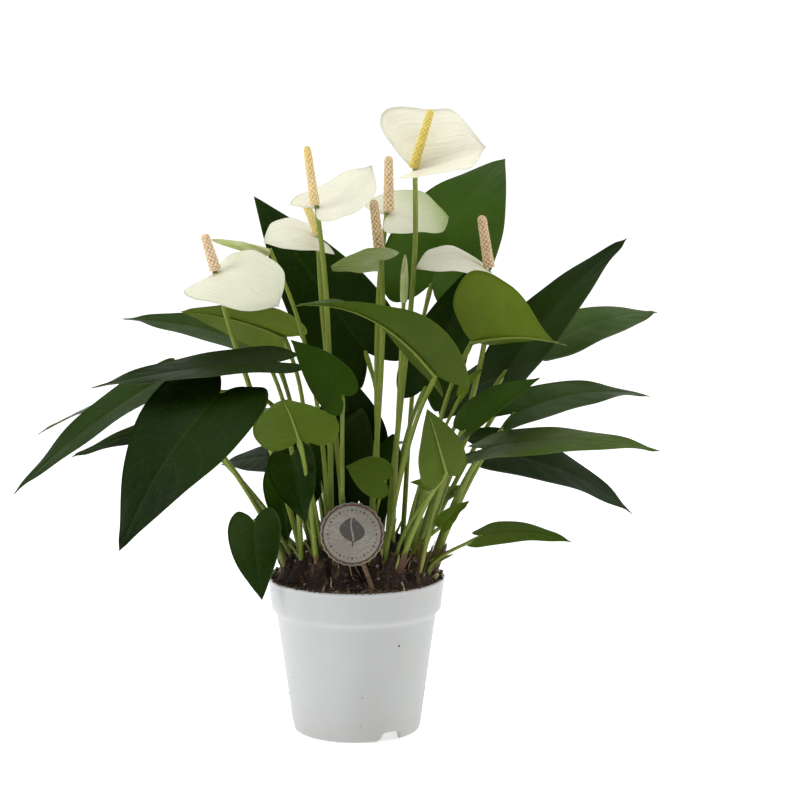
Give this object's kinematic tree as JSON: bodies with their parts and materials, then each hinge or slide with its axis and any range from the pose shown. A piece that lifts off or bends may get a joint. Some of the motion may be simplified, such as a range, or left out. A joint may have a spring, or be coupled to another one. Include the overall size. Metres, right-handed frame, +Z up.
{
  "type": "potted anthurium",
  "caption": "Potted anthurium: heart-shaped leaves on long petioles, white spathes with upright spadices and rolled buds, in a round nursery pot with a blank plant label.",
  "frame": {"origin": "on the ground, at the centre of the flat pad in the middle of the pot's floor, on the pot's axis", "axes": "+Z up along the pot's axis; -Y is the front, where the label faces; +X is to the right seen from the front"},
  "size_m": [0.442, 0.298, 0.421],
  "materials": {
    "pot_plastic": "smooth white, slightly glossy",
    "potting_mix": "loose dark peat and fibre",
    "label_card": "printed card",
    "label_pick": "bare wood",
    "mature_leaf": "dark green, glossy above",
    "young_leaf": "bright green, satin",
    "stalk": "green, satin",
    "spathe": "waxy white",
    "spadix": "finely knobbed, cream to yellow",
    "bud": "pale green with a red tinge"
  },
  "bodies": {
    "root": {"pot": "pot_plastic", "potting_mix": "potting_mix", "label_disc": "label_card", "label_pick": "label_pick", "leaf_back_top": "mature_leaf", "leaf_back_upright": "mature_leaf", "leaf_left_bright": "young_leaf", "leaf_left_silver": "mature_leaf", "leaf_left_long": "mature_leaf", "leaf_front_left_large": "mature_leaf", "leaf_left_slender": "mature_leaf", "leaf_left_rear": "mature_leaf", "leaf_left_low": "mature_leaf", "leaf_left_shade": "mature_leaf", "leaf_heart_low": "mature_leaf", "leaf_centre_pale": "young_leaf", "leaf_centre_small": "mature_leaf", "leaf_centre_arching": "young_leaf", "leaf_back_right_dark": "mature_leaf", "leaf_right_bright": "young_leaf", "leaf_right_pointed": "mature_leaf", "leaf_right_rear": "mature_leaf", "leaf_right_broad": "mature_leaf", "leaf_right_folded": "mature_leaf", "leaf_right_long": "young_leaf", "leaf_right_drooping": "mature_leaf", "leaf_right_low": "young_leaf", "leaf_front_small": "mature_leaf", "leaf_crown_small": "young_leaf", "leaf_shade_left": "mature_leaf", "leaf_shade_right": "mature_leaf", "leaf_rear_left": "mature_leaf", "leaf_rear_centre": "mature_leaf", "flower_top_stalk": "stalk", "flower_top_spathe": "spathe", "flower_top_spadix": "spadix", "flower_left_high_stalk": "stalk", "flower_left_high_spathe": "spathe", "flower_left_high_spadix": "spadix", "flower_left_back_stalk": "stalk", "flower_left_back_spathe": "spathe", "flower_left_back_spadix": "spadix", "flower_left_low_stalk": "stalk", "flower_left_low_spathe": "spathe", "flower_left_low_spadix": "spadix", "flower_centre_high_stalk": "stalk", "flower_centre_high_spathe": "spathe", "flower_centre_high_spadix": "spadix", "flower_centre_stalk": "stalk", "flower_centre_spathe": "spathe", "flower_centre_spadix": "spadix", "flower_right_stalk": "stalk", "flower_right_spathe": "spathe", "flower_right_spadix": "spadix", "bud_left_stalk": "stalk", "bud_left": "bud", "bud_centre_stalk": "stalk", "bud_centre": "bud"}
  },
  "joints": []
}
